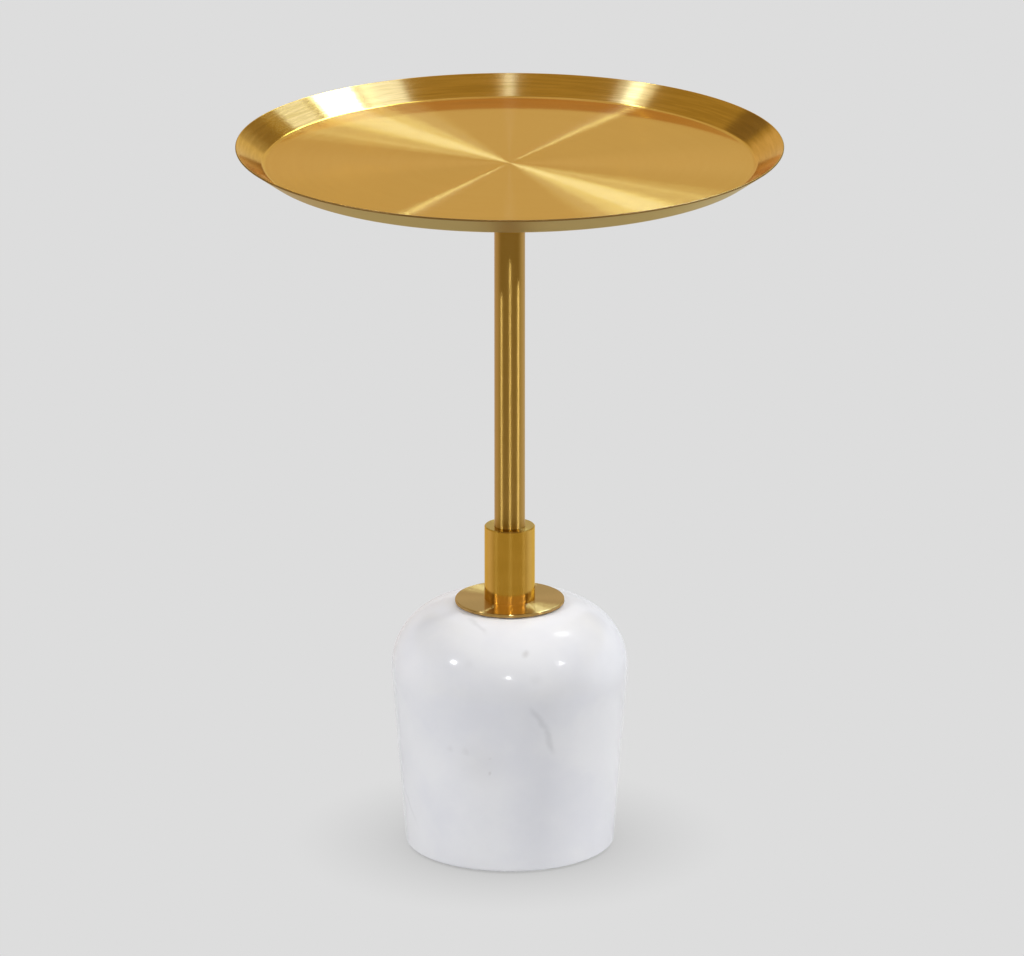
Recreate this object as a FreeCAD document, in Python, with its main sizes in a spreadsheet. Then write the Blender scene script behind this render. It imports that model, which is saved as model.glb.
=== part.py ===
# Round side table. A spun gold tray screws on to a polished pole, and a tie rod pulls the pole
# and the plate under it down on to a marble base.
# Sizes are millimetres and +Z is up. The origin is on the floor under the middle of the base.
# The front is -Y, and every piece but the grub screw is turned about the Z axis.

import FreeCAD
import Part
import Sketcher

import math
import os

# Driving sizes: name, value, what it measures

SIZES = [
    ("table_height", 604, "floor to the lip of the tray"),
    ("tray_diameter", 450, "across the lip"),
    ("tray_depth", 15.5, "lip above the floor of the tray"),
    ("rim_width", 23, "flared rim, measured along a radius"),
    ("tray_sheet", 1.5, "thickness of the spun sheet"),
    ("tray_bend", 3, "inside radius where the rim leaves the floor"),
    ("plate_diameter", 120, "stiffening disc under the tray"),
    ("plate_thickness", 2, "stiffening disc under the tray"),
    ("boss_roof", 4, "solid metal over the thread of the boss"),
    ("thread_engagement", 9, "length of stud screwed into the boss"),
    ("thread_runout", 3, "empty thread over the stud"),
    ("thread_pitch", 1.5, "advance of one turn"),
    ("thread_depth", 0.8, "depth of the thread rings"),
    ("thread_play", 0.25, "radial play of the boss on the stud"),
    ("thread_gap", 0.05, "radial gap round a thread that stays tight"),
    ("tray_washer_thickness", 2, "washer on top of the pole"),
    ("tray_washer_inset", 0.7, "edge of that washer inside the edge of the pole"),
    ("pole_diameter", 25.4, "outside of the tube"),
    ("pole_wall", 1.5, "wall of the tube"),
    ("weld_gap", 0.05, "radial gap between a welded plug and the tube"),
    ("plug_room", 4, "length of a plug past the end of its stud or rod"),
    ("stud_diameter", 10, "stud on top of the pole"),
    ("stud_embed", 18, "length of the stud inside its plug"),
    ("collar_diameter", 42, "outside of the collar"),
    ("collar_height", 63.5, "collar over its plate"),
    ("collar_gap", 0.15, "radial gap between the pole and the collar"),
    ("collar_edge", 0.8, "bevel of the collar"),
    ("grub_diameter", 5, "set screw at the rear of the collar"),
    ("grub_height", 20, "set screw over the plate"),
    ("grub_gap", 0.1, "gap round the set screw and in front of its tip"),
    ("grub_recess", 0.8, "set screw below the surface of the collar"),
    ("grub_key", 2.5, "key socket of the set screw, across flats"),
    ("grub_key_depth", 2.5, "depth of that socket"),
    ("flange_diameter", 91, "plate under the collar"),
    ("flange_thickness", 3, "plate under the collar"),
    ("flange_edge", 0.8, "rounding of the plate"),
    ("gasket_thickness", 1, "foam ring between the plate and the stone"),
    ("gasket_inset", 0.5, "edge of that ring inside the edge of the stone's flat top"),
    ("stone_diameter", 197, "stone at its widest"),
    ("stone_height", 207.5, "stone from its foot to its flat top"),
    ("stone_taper", 11.5, "radius lost from the widest part to the foot"),
    ("stone_foot_round", 2.5, "rounding of the foot"),
    ("seat_inset", 2.5, "edge of the stone's flat top inside the edge of the plate"),
    ("stone_bore_gap", 2, "radial gap round the tie rod in the stone"),
    ("rod_diameter", 10, "tie rod"),
    ("rod_embed", 20, "length of the rod inside the plug of the pole"),
    ("rod_end", 3, "rod below its nut"),
    ("rod_gap", 0.3, "radial gap of plates and washers on the rod"),
    ("recess_diameter", 64, "recess under the stone"),
    ("recess_room", 13, "recess below the end of the rod"),
    ("clamp_gap", 2, "radial gap between the clamp plate and the recess"),
    ("clamp_thickness", 4, "clamp plate"),
    ("rod_washer_width", 5, "ring of the flat washer"),
    ("rod_washer_thickness", 2, "flat washer"),
    ("spring_width", 3, "ring of the spring washer"),
    ("spring_thickness", 2.2, "spring washer"),
    ("spring_split", 1.5, "slit of the spring washer"),
    ("nut_flats", 16, "nut across flats"),
    ("nut_height", 8, "nut"),
    ("pad_thickness", 1.5, "ring pad on the floor"),
    ("pad_inset", 6, "edge of the pad inside the foot of the stone"),
    ("pad_margin", 4, "hole of the pad past the recess"),
    ("edge_break", 0.4, "small bevel on turned metal edges"),
]

doc = FreeCAD.newDocument("RoundSideTable")
sheet = doc.addObject("Spreadsheet::Sheet", "Sizes")
for row, (alias, value, meaning) in enumerate(SIZES, start=1):
    sheet.set(f"A{row}", meaning)
    sheet.set(f"B{row}", str(value))
    sheet.setAlias(f"B{row}", alias)
doc.recompute()

# Heights, from the floor up to the plate

PAD_TOP = "Sizes.pad_thickness"
ROD_FOOT = f"({PAD_TOP} + Sizes.recess_room)"
NUT_FOOT = f"({ROD_FOOT} + Sizes.rod_end)"
SPRING_FOOT = f"({NUT_FOOT} + Sizes.nut_height)"
ROD_WASHER_FOOT = f"({SPRING_FOOT} + Sizes.spring_thickness)"
CLAMP_FOOT = f"({ROD_WASHER_FOOT} + Sizes.rod_washer_thickness)"
RECESS_TOP = f"({CLAMP_FOOT} + Sizes.clamp_thickness)"
STONE_TOP = f"({PAD_TOP} + Sizes.stone_height)"
FLANGE_FOOT = f"({STONE_TOP} + Sizes.gasket_thickness)"
FLANGE_TOP = f"({FLANGE_FOOT} + Sizes.flange_thickness)"
COLLAR_TOP = f"({FLANGE_TOP} + Sizes.collar_height)"
ROD_TOP = f"({FLANGE_TOP} + Sizes.rod_embed)"
FOOT_PLUG_TOP = f"({ROD_TOP} + Sizes.plug_room)"

# Heights, from the lip down to the top of the pole

TRAY_FLOOR = "(Sizes.table_height - Sizes.tray_depth)"
TRAY_UNDERSIDE = f"({TRAY_FLOOR} - Sizes.tray_sheet)"
PLATE_FOOT = f"({TRAY_UNDERSIDE} - Sizes.plate_thickness)"
THREAD_TOP = f"({PLATE_FOOT} - Sizes.boss_roof)"
STUD_TOP = f"({THREAD_TOP} - Sizes.thread_runout)"
BOSS_FOOT = f"({STUD_TOP} - Sizes.thread_engagement)"
POLE_TOP = f"({BOSS_FOOT} - Sizes.tray_washer_thickness)"
POLE_LENGTH = f"({POLE_TOP} - {FLANGE_TOP})"
STUD_FOOT = f"({POLE_TOP} - Sizes.stud_embed)"
TOP_PLUG_FOOT = f"({STUD_FOOT} - Sizes.plug_room)"

# Radii that pieces share

TRAY_FLOOR_RADIUS = "(Sizes.tray_diameter / 2 - Sizes.rim_width)"
PLATE_RADIUS = "(Sizes.plate_diameter / 2)"
POLE_RADIUS = "(Sizes.pole_diameter / 2)"
PLUG_RADIUS = f"({POLE_RADIUS} - Sizes.pole_wall - Sizes.weld_gap)"
STUD_RADIUS = "(Sizes.stud_diameter / 2)"
ROD_RADIUS = "(Sizes.rod_diameter / 2)"
ROD_HOLE_RADIUS = f"({ROD_RADIUS} + Sizes.rod_gap)"
COLLAR_RADIUS = "(Sizes.collar_diameter / 2)"
FLANGE_RADIUS = "(Sizes.flange_diameter / 2)"
STONE_RADIUS = "(Sizes.stone_diameter / 2)"
STONE_FOOT_RADIUS = f"({STONE_RADIUS} - Sizes.stone_taper)"
STONE_FLAT_RADIUS = f"({FLANGE_RADIUS} - Sizes.seat_inset)"
DOME_RADIUS = f"({STONE_RADIUS} - {STONE_FLAT_RADIUS})"
GASKET_RADIUS = f"({STONE_FLAT_RADIUS} - Sizes.gasket_inset)"
STONE_BORE_RADIUS = f"({ROD_RADIUS} + Sizes.stone_bore_gap)"
RECESS_RADIUS = "(Sizes.recess_diameter / 2)"

pieces = []
center = FreeCAD.Vector(0, 0, 0)
up_axis = FreeCAD.Vector(0, 0, 1)


def number(expression):
    """The present value of an expression, for a first drawing and for finding edges."""
    return float(sheet.evalExpression(expression))


def new_body(label):
    body = doc.addObject("PartDesign::Body", label)
    body.Label = label
    pieces.append(body)
    return body


def origin_item(body, role):
    """One of the body's own origin planes or axes."""
    return next(item for item in body.Origin.OriginFeatures if item.Role == role)


def new_sketch(body, name, role):
    """A sketch on one of the body's own origin planes. On XZ, across is a radius and up is a height."""
    sketch = body.newObject("Sketcher::SketchObject", f"{body.Name}_{name}")
    sketch.AttachmentSupport = (origin_item(body, role), [""])
    sketch.MapMode = "FlatFace"
    return sketch


def size_constraint(sketch, expression, kind, *where):
    """A dimension of the sketch that follows an expression."""
    index = sketch.addConstraint(Sketcher.Constraint(kind, *where, number(expression)))
    sketch.setExpression(f"Constraints[{index}]", expression)


def pin_point(sketch, element, end, across, up):
    """Ties one point of a sketch element to its two distances from the origin."""
    for kind, axis, expression in (("DistanceX", -2, across), ("DistanceY", -1, up)):
        if expression == "0":
            sketch.addConstraint(Sketcher.Constraint("PointOnObject", element, end, axis))
        else:
            size_constraint(sketch, expression, kind, -1, 1, element, end)


def join_ends(sketch, count):
    """Closes the elements 0 to count - 1 into one loop."""
    for index in range(count):
        sketch.addConstraint(Sketcher.Constraint("Coincident", index, 2, (index + 1) % count, 1))


def draw_outline(sketch, corners):
    """A closed outline of straight lines. Each corner is an expression across and one up."""
    points = [FreeCAD.Vector(number(across), number(up), 0) for across, up in corners]
    for start, end in zip(points, points[1:] + points[:1]):
        sketch.addGeometry(Part.LineSegment(start, end), False)
    join_ends(sketch, len(points))
    for index, (across, up) in enumerate(corners):
        pin_point(sketch, index, 1, across, up)


def revolve(body, sketch, kind="Revolution"):
    """Turns the sketch about Z, as a solid or as a cut."""
    feature = body.newObject(f"PartDesign::{kind}", f"{sketch.Name}_{kind.lower()}")
    feature.Profile = sketch
    feature.ReferenceAxis = (sketch, ["V_Axis"])
    feature.Angle = 360
    doc.recompute()
    return feature


def turned(label, corners):
    """A turned piece from its half section."""
    body = new_body(label)
    sketch = new_sketch(body, "section", "XZ_Plane")
    draw_outline(sketch, corners)
    revolve(body, sketch)
    return body


def ring(label, inner, outer, foot, top):
    """A turned piece with a rectangular section."""
    return turned(label, [(inner, foot), (outer, foot), (outer, top), (inner, top)])


def finish_edges(body, kind, size, places):
    """Rounds or bevels the circular edges at these places, each a radius and a height."""
    base = body.Tip
    names = []
    for index, edge in enumerate(base.Shape.Edges, start=1):
        if not isinstance(edge.Curve, Part.Circle):
            continue
        for radius, height in places:
            same_radius = abs(edge.Curve.Radius - radius) < 1e-4
            if same_radius and abs(edge.Curve.Center.z - height) < 1e-4:
                names.append(f"Edge{index}")
    if len(names) != len(places):
        raise ValueError(f"{body.Label}: {len(names)} edges found for {len(places)} places")
    feature = body.newObject(f"PartDesign::{kind}", f"{body.Name}_{kind.lower()}")
    feature.Base = (base, names)
    feature.setExpression("Radius" if kind == "Fillet" else "Size", size)
    doc.recompute()


def thread_rings(body, radius, start, length):
    """Thread shown as a row of V grooves, one to a pitch."""
    sketch = new_sketch(body, "thread", "XZ_Plane")
    crest = f"({radius} + Sizes.thread_depth / 4)"
    root = f"({radius} - Sizes.thread_depth)"
    corners = [
        (crest, start),
        (crest, f"({start} + Sizes.thread_pitch)"),
        (root, f"({start} + Sizes.thread_pitch / 2)"),
    ]
    draw_outline(sketch, corners)
    groove = revolve(body, sketch, "Groove")
    turns = f"floor({length} / Sizes.thread_pitch)"
    pattern = body.newObject("PartDesign::LinearPattern", f"{body.Name}_thread_rows")
    pattern.Originals = [groove]
    pattern.Direction = (origin_item(body, "Z_Axis"), [""])
    pattern.Mode = "Spacing"
    pattern.setExpression("Offset", "Sizes.thread_pitch")
    pattern.setExpression("Occurrences", turns)
    body.Tip = pattern
    doc.recompute()


def primitive(kind, name, sizes, foot):
    """A basic solid on the Z axis, with its sizes and the height of its foot as expressions."""
    solid = doc.addObject(f"Part::{kind}", name)
    for prop, expression in sizes.items():
        solid.setExpression(prop, expression)
    solid.setExpression("Placement.Base.z", foot)
    return solid


def cut(label, base, tool):
    result = doc.addObject("Part::Cut", label)
    result.Label = label
    result.Base = base
    result.Tool = tool
    return result


# Tray: one spun sheet with a flat floor, a flared rim and a fully rounded lip

tray = new_body("tray")
section = new_sketch(tray, "section", "XZ_Plane")
LIP_RADIUS = "(Sizes.tray_sheet / 2)"
LIP_ACROSS = f"(Sizes.tray_diameter / 2 - {LIP_RADIUS})"
LIP_UP = f"(Sizes.table_height - {LIP_RADIUS})"
floor_center = FreeCAD.Vector(0, number(TRAY_FLOOR), 0)
floor_edge = FreeCAD.Vector(number(TRAY_FLOOR_RADIUS), number(TRAY_FLOOR), 0)
under_center = FreeCAD.Vector(0, number(TRAY_UNDERSIDE), 0)
lip_center = FreeCAD.Vector(number(LIP_ACROSS), number(LIP_UP), 0)
lip_radius = number(LIP_RADIUS)
to_lip = lip_center - floor_edge
slope = math.atan2(to_lip.y, to_lip.x) + math.asin(lip_radius / to_lip.Length)
lip_circle = Part.Circle(lip_center, up_axis, lip_radius)
lip_arc = Part.ArcOfCircle(lip_circle, slope - math.pi / 2, slope + math.pi / 2)
rim_top = lip_arc.EndPoint
outer_top = lip_arc.StartPoint
under_edge = floor_edge + FreeCAD.Vector(2 * lip_radius * math.tan(slope / 2), -2 * lip_radius, 0)
FLOOR_LINE, RIM_LINE, LIP_ARC, OUTER_LINE, UNDER_LINE, AXIS_LINE = range(6)
section.addGeometry(Part.LineSegment(floor_center, floor_edge), False)
section.addGeometry(Part.LineSegment(floor_edge, rim_top), False)
section.addGeometry(lip_arc, False)
section.addGeometry(Part.LineSegment(outer_top, under_edge), False)
section.addGeometry(Part.LineSegment(under_edge, under_center), False)
section.addGeometry(Part.LineSegment(under_center, floor_center), False)
section.addConstraint(Sketcher.Constraint("Coincident", FLOOR_LINE, 2, RIM_LINE, 1))
section.addConstraint(Sketcher.Constraint("Tangent", RIM_LINE, 2, LIP_ARC, 2))
section.addConstraint(Sketcher.Constraint("Tangent", LIP_ARC, 1, OUTER_LINE, 1))
section.addConstraint(Sketcher.Constraint("Coincident", OUTER_LINE, 2, UNDER_LINE, 1))
section.addConstraint(Sketcher.Constraint("Coincident", UNDER_LINE, 2, AXIS_LINE, 1))
section.addConstraint(Sketcher.Constraint("Coincident", AXIS_LINE, 2, FLOOR_LINE, 1))
section.addConstraint(Sketcher.Constraint("Parallel", RIM_LINE, OUTER_LINE))
section.addConstraint(Sketcher.Constraint("Horizontal", UNDER_LINE))
pin_point(section, FLOOR_LINE, 1, "0", TRAY_FLOOR)
pin_point(section, RIM_LINE, 1, TRAY_FLOOR_RADIUS, TRAY_FLOOR)
pin_point(section, UNDER_LINE, 2, "0", TRAY_UNDERSIDE)
pin_point(section, LIP_ARC, 3, LIP_ACROSS, LIP_UP)
size_constraint(section, LIP_RADIUS, "Radius", LIP_ARC)
revolve(tray, section)
outer_bend = section.getPoint(OUTER_LINE, 2)
finish_edges(tray, "Fillet", "Sizes.tray_bend", [(floor_edge.x, floor_edge.y)])
finish_edges(tray, "Fillet", "Sizes.tray_bend + Sizes.tray_sheet", [(outer_bend.x, outer_bend.y)])

# Under the tray: a stiffening disc, and a tapped boss as wide as the pole

plate = turned(
    "tray_backing_plate",
    [
        ("0", PLATE_FOOT),
        (PLATE_RADIUS, PLATE_FOOT),
        (PLATE_RADIUS, TRAY_UNDERSIDE),
        ("0", TRAY_UNDERSIDE),
    ],
)
finish_edges(plate, "Chamfer", "Sizes.edge_break", [(number(PLATE_RADIUS), number(PLATE_FOOT))])

boss_bore = f"({STUD_RADIUS} + Sizes.thread_play)"
boss = turned(
    "tray_boss",
    [
        ("0", THREAD_TOP),
        (boss_bore, THREAD_TOP),
        (boss_bore, BOSS_FOOT),
        (POLE_RADIUS, BOSS_FOOT),
        (POLE_RADIUS, PLATE_FOOT),
        ("0", PLATE_FOOT),
    ],
)
finish_edges(boss, "Chamfer", "Sizes.edge_break", [(number(POLE_RADIUS), number(BOSS_FOOT))])

ring("tray_washer", boss_bore, f"({POLE_RADIUS} - Sizes.tray_washer_inset)", POLE_TOP, BOSS_FOOT)

# Stud that the tray screws on to, with its thread on the part that stands out of the pole

stud = turned(
    "tray_stud",
    [("0", STUD_FOOT), (STUD_RADIUS, STUD_FOOT), (STUD_RADIUS, STUD_TOP), ("0", STUD_TOP)],
)
finish_edges(stud, "Chamfer", "Sizes.thread_depth", [(number(STUD_RADIUS), number(STUD_TOP))])
thread_rings(stud, STUD_RADIUS, BOSS_FOOT, "(Sizes.thread_engagement - Sizes.thread_depth)")

# Pole: a straight tube standing on the plate, with a tapped plug welded in each end

pole = new_body("pole")
tube = new_sketch(pole, "tube", "XY_Plane")
for element, radius in enumerate((POLE_RADIUS, f"({POLE_RADIUS} - Sizes.pole_wall)")):
    tube.addGeometry(Part.Circle(center, up_axis, number(radius)), False)
    tube.addConstraint(Sketcher.Constraint("Coincident", element, 3, -1, 1))
    size_constraint(tube, radius, "Radius", element)
length = pole.newObject("PartDesign::Pad", "pole_length")
length.Profile = tube
length.setExpression("Length", POLE_LENGTH)
pole.setExpression("Placement.Base.z", FLANGE_TOP)
doc.recompute()
finish_edges(pole, "Chamfer", "Sizes.edge_break", [(number(POLE_RADIUS), number(POLE_LENGTH))])

ring("pole_top_plug", f"({STUD_RADIUS} + Sizes.thread_gap)", PLUG_RADIUS, TOP_PLUG_FOOT, POLE_TOP)
ring("pole_foot_plug", f"({ROD_RADIUS} + Sizes.thread_gap)", PLUG_RADIUS, FLANGE_TOP, FOOT_PLUG_TOP)

# Collar round the foot of the pole, locked by a set screw at the rear

collar_bore = f"({POLE_RADIUS} + Sizes.collar_gap)"
collar = ring("collar", collar_bore, COLLAR_RADIUS, FLANGE_TOP, COLLAR_TOP)
finish_edges(collar, "Chamfer", "Sizes.collar_edge", [(number(COLLAR_RADIUS), number(COLLAR_TOP))])
screw_height = f"({FLANGE_TOP} + Sizes.grub_height)"
screw_hole = new_sketch(collar, "screw_hole", "XZ_Plane")
hole_radius = "(Sizes.grub_diameter / 2 + Sizes.grub_gap)"
hole_center = FreeCAD.Vector(0, number(screw_height), 0)
screw_hole.addGeometry(Part.Circle(hole_center, up_axis, number(hole_radius)), False)
pin_point(screw_hole, 0, 3, "0", screw_height)
size_constraint(screw_hole, hole_radius, "Radius", 0)
before_hole = collar.Shape.Volume
drilling = collar.newObject("PartDesign::Pocket", "collar_drilling")
drilling.Profile = screw_hole
drilling.setExpression("Length", f"{COLLAR_RADIUS} + Sizes.collar_edge")
doc.recompute()
if collar.Shape.Volume >= before_hole:
    raise ValueError("the collar's screw hole cut nothing")

# The set screw lies along +Y, from just off the pole to just under the surface of the collar

screw_tip = f"({POLE_RADIUS} + Sizes.grub_gap)"
screw_head = f"({COLLAR_RADIUS} - Sizes.grub_recess)"
to_rear = FreeCAD.Rotation(FreeCAD.Vector(1, 0, 0), -90)
shank = primitive(
    "Cylinder",
    "grub_shank",
    {"Radius": "Sizes.grub_diameter / 2", "Height": f"{screw_head} - {screw_tip}"},
    screw_height,
)
key = primitive(
    "Prism",
    "grub_socket",
    {"Circumradius": "Sizes.grub_key / 2 / cos(30 deg)", "Height": "Sizes.grub_key_depth"},
    screw_height,
)
for solid, start in ((shank, screw_tip), (key, f"({screw_head} - Sizes.grub_key_depth)")):
    solid.Placement.Rotation = to_rear
    solid.setExpression("Placement.Base.y", start)
pieces.append(cut("collar_grub_screw", shank, key))

# Plate under the collar, and the foam ring that keeps it off the polished stone

flange = ring("flange_plate", ROD_HOLE_RADIUS, FLANGE_RADIUS, FLANGE_FOOT, FLANGE_TOP)
finish_edges(
    flange,
    "Fillet",
    "min(Sizes.flange_edge; 0.4 * Sizes.flange_thickness)",
    [(number(FLANGE_RADIUS), number(FLANGE_TOP)), (number(FLANGE_RADIUS), number(FLANGE_FOOT))],
)
ring("flange_gasket", STONE_BORE_RADIUS, GASKET_RADIUS, STONE_TOP, FLANGE_FOOT)

# Stone: flat seat, round shoulder, and a wall that runs from the shoulder in to the foot

stone = new_body("marble_base")
profile = new_sketch(stone, "section", "XZ_Plane")
flat_radius = number(STONE_FLAT_RADIUS)
dome_radius = number(DOME_RADIUS)
dome_height = number(f"{STONE_TOP} - {DOME_RADIUS}")
foot = FreeCAD.Vector(number(STONE_FOOT_RADIUS), number(PAD_TOP), 0)
dome_center = FreeCAD.Vector(flat_radius, dome_height, 0)
to_foot = foot - dome_center
wall_angle = math.atan2(to_foot.y, to_foot.x) + math.acos(dome_radius / to_foot.Length)
touch = dome_center + FreeCAD.Vector(math.cos(wall_angle), math.sin(wall_angle), 0) * dome_radius
dome_circle = Part.Circle(dome_center, up_axis, dome_radius)
bottom_center = FreeCAD.Vector(0, foot.y, 0)
top_center = FreeCAD.Vector(0, number(STONE_TOP), 0)
top_edge = FreeCAD.Vector(flat_radius, number(STONE_TOP), 0)
FOOT_LINE, WALL_LINE, DOME_ARC, SEAT_LINE, CORE_LINE = range(5)
profile.addGeometry(Part.LineSegment(bottom_center, foot), False)
profile.addGeometry(Part.LineSegment(foot, touch), False)
profile.addGeometry(Part.ArcOfCircle(dome_circle, wall_angle, math.pi / 2), False)
profile.addGeometry(Part.LineSegment(top_edge, top_center), False)
profile.addGeometry(Part.LineSegment(top_center, bottom_center), False)
profile.addConstraint(Sketcher.Constraint("Coincident", FOOT_LINE, 2, WALL_LINE, 1))
profile.addConstraint(Sketcher.Constraint("Tangent", WALL_LINE, 2, DOME_ARC, 1))
profile.addConstraint(Sketcher.Constraint("Tangent", DOME_ARC, 2, SEAT_LINE, 1))
profile.addConstraint(Sketcher.Constraint("Coincident", SEAT_LINE, 2, CORE_LINE, 1))
profile.addConstraint(Sketcher.Constraint("Coincident", CORE_LINE, 2, FOOT_LINE, 1))
profile.addConstraint(Sketcher.Constraint("Horizontal", SEAT_LINE))
pin_point(profile, FOOT_LINE, 1, "0", PAD_TOP)
pin_point(profile, WALL_LINE, 1, STONE_FOOT_RADIUS, PAD_TOP)
pin_point(profile, SEAT_LINE, 2, "0", STONE_TOP)
size_constraint(profile, STONE_FLAT_RADIUS, "DistanceX", -1, 1, DOME_ARC, 3)
size_constraint(profile, DOME_RADIUS, "Radius", DOME_ARC)
revolve(stone, profile)
whole_stone = stone.Shape.Volume
drilled = new_sketch(stone, "bore", "XZ_Plane")
bore_corners = [
    ("0", PAD_TOP),
    (RECESS_RADIUS, PAD_TOP),
    (RECESS_RADIUS, RECESS_TOP),
    (STONE_BORE_RADIUS, RECESS_TOP),
    (STONE_BORE_RADIUS, STONE_TOP),
    ("0", STONE_TOP),
]
draw_outline(drilled, bore_corners)
revolve(stone, drilled, "Groove")
if stone.Shape.Volume >= whole_stone:
    raise ValueError("the stone's bore cut nothing")
finish_edges(stone, "Fillet", "Sizes.stone_foot_round", [(foot.x, foot.y)])

# Tie rod, from under its nut up into the plug of the pole

rod = turned(
    "tie_rod",
    [("0", ROD_FOOT), (ROD_RADIUS, ROD_FOOT), (ROD_RADIUS, ROD_TOP), ("0", ROD_TOP)],
)
finish_edges(rod, "Chamfer", "Sizes.edge_break", [(number(ROD_RADIUS), number(ROD_FOOT))])
thread_rings(rod, ROD_RADIUS, f"({ROD_FOOT} + Sizes.edge_break)", "Sizes.rod_end")

# Clamp in the recess: plate, flat washer, spring washer and nut, from the stone down

ring("clamp_plate", ROD_HOLE_RADIUS, f"({RECESS_RADIUS} - Sizes.clamp_gap)", CLAMP_FOOT, RECESS_TOP)
ring(
    "rod_flat_washer",
    ROD_HOLE_RADIUS,
    f"({ROD_HOLE_RADIUS} + Sizes.rod_washer_width)",
    ROD_WASHER_FOOT,
    CLAMP_FOOT,
)

spring_radius = f"({ROD_HOLE_RADIUS} + Sizes.spring_width)"
coil = primitive(
    "Cylinder", "spring_outside", {"Radius": spring_radius, "Height": "Sizes.spring_thickness"}, SPRING_FOOT
)
eye = primitive(
    "Cylinder", "spring_eye", {"Radius": ROD_HOLE_RADIUS, "Height": "Sizes.spring_thickness"}, SPRING_FOOT
)
slit = primitive(
    "Box",
    "spring_slit",
    {"Length": spring_radius, "Width": "Sizes.spring_split", "Height": "Sizes.spring_thickness"},
    SPRING_FOOT,
)
slit.setExpression("Placement.Base.y", "-Sizes.spring_split / 2")
whole_ring = cut("spring_ring", coil, eye)
pieces.append(cut("rod_spring_washer", whole_ring, slit))

hexagon = primitive(
    "Prism",
    "nut_hexagon",
    {"Circumradius": "Sizes.nut_flats / 2 / cos(30 deg)", "Height": "Sizes.nut_height"},
    NUT_FOOT,
)
nut_thread = primitive(
    "Cylinder",
    "nut_thread",
    {"Radius": f"{ROD_RADIUS} + Sizes.thread_gap", "Height": "Sizes.nut_height"},
    NUT_FOOT,
)
pieces.append(cut("rod_nut", hexagon, nut_thread))

# Ring pad between the stone and the floor

ring(
    "floor_pad",
    f"({RECESS_RADIUS} + Sizes.pad_margin)",
    f"({STONE_FOOT_RADIUS} - Sizes.pad_inset)",
    "0",
    PAD_TOP,
)

doc.recompute()
failed = [item.Name for item in doc.Objects if "Invalid" in item.State or "Error" in item.State]
if failed:
    raise RuntimeError(f"failed objects: {failed}")
for piece in pieces:
    shape = piece.Shape
    if shape.isNull() or not shape.isValid() or len(shape.Solids) != 1:
        raise RuntimeError(f"{piece.Label} is not one sound solid")

os.makedirs("parts", exist_ok=True)
for piece in pieces:
    piece.Shape.exportStep(f"parts/{piece.Label}.step")
    box = piece.Shape.BoundBox
    print(f"{piece.Label}: {piece.Shape.Volume / 1000:.2f} cm3, z {box.ZMin:.2f} to {box.ZMax:.2f}")
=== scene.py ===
# %% [markdown]
# # A round side table in brushed gold and white marble
#
# A shallow gold tray screws on to a slim pole. The pole stands in a collar on a thin plate, and a hidden
# rod pulls the plate down on to a heavy marble foot. The solids of all nineteen pieces come from the packed
# model. This lesson gives them their looks, turns the four large pieces again with finer steps, and sets up
# the camera, the floor and the lamps. Lengths are metres, +Z is up, and the viewer stands at -Y.

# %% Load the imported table
import math
from types import SimpleNamespace

import bmesh
import bpy
from mathutils import Matrix, Vector


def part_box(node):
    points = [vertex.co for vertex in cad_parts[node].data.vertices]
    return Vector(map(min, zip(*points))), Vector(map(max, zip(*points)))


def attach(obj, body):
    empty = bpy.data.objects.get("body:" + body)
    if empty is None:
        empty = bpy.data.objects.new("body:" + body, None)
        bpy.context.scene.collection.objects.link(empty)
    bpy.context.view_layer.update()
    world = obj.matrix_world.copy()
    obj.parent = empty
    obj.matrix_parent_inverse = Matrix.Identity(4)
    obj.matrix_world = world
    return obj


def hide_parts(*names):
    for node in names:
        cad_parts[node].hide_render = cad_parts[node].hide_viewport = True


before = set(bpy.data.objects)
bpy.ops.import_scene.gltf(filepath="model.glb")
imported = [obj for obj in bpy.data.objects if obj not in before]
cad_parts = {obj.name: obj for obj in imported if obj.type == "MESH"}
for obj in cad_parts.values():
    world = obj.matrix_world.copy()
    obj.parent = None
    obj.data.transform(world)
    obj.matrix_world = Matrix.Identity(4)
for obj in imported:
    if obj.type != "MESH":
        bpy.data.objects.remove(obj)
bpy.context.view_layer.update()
scene = bpy.context.scene
scene.view_settings.view_transform = "Standard"

# %% [markdown]
# ## Camera
#
# A camera could be placed by eye, but the outlines of the tray, the pole and the foot give it exactly: the
# ellipse of the tray says how far the view looks down, and the way the round foot looks flatter than the
# tray says how far away the camera is. It is a long lens, far off, that looks down by about eighteen
# degrees.

# %% Put the camera where the outlines say
MM = 0.001
SENSOR_WIDTH = 36
LENS = 340.845
CAMERA_PLACE = (1.9 * MM, -7659.9 * MM, 2740.87 * MM)
LOOK_DOWN = 0.306428

lens = bpy.data.cameras.new("long lens")
lens.sensor_fit = "HORIZONTAL"
lens.sensor_width = SENSOR_WIDTH
lens.lens = LENS
camera = bpy.data.objects.new("camera", lens)
camera.location = CAMERA_PLACE
camera.rotation_euler = (math.pi / 2 - LOOK_DOWN, 0, 0)
scene.collection.objects.link(camera)
scene.camera = camera
print("camera looks down", round(math.degrees(LOOK_DOWN), 2), "degrees")

# %% [markdown]
# ## Sums as node trees
#
# Materials and shape trees are full of small sums. Node by node they are hard to read, so one small class
# stands for a socket: adding or multiplying two of them puts a Math node in the tree, and one method adds
# any other kind of node.

# %% A socket that can be used in sums


def feed(inputs, values):
    """Links each wire to its socket, and sets each plain value on the socket itself."""
    for name, value in values.items():
        if isinstance(value, Wire):
            value.tree.links.new(value.socket, inputs[name])
        else:
            inputs[name].default_value = value


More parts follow.
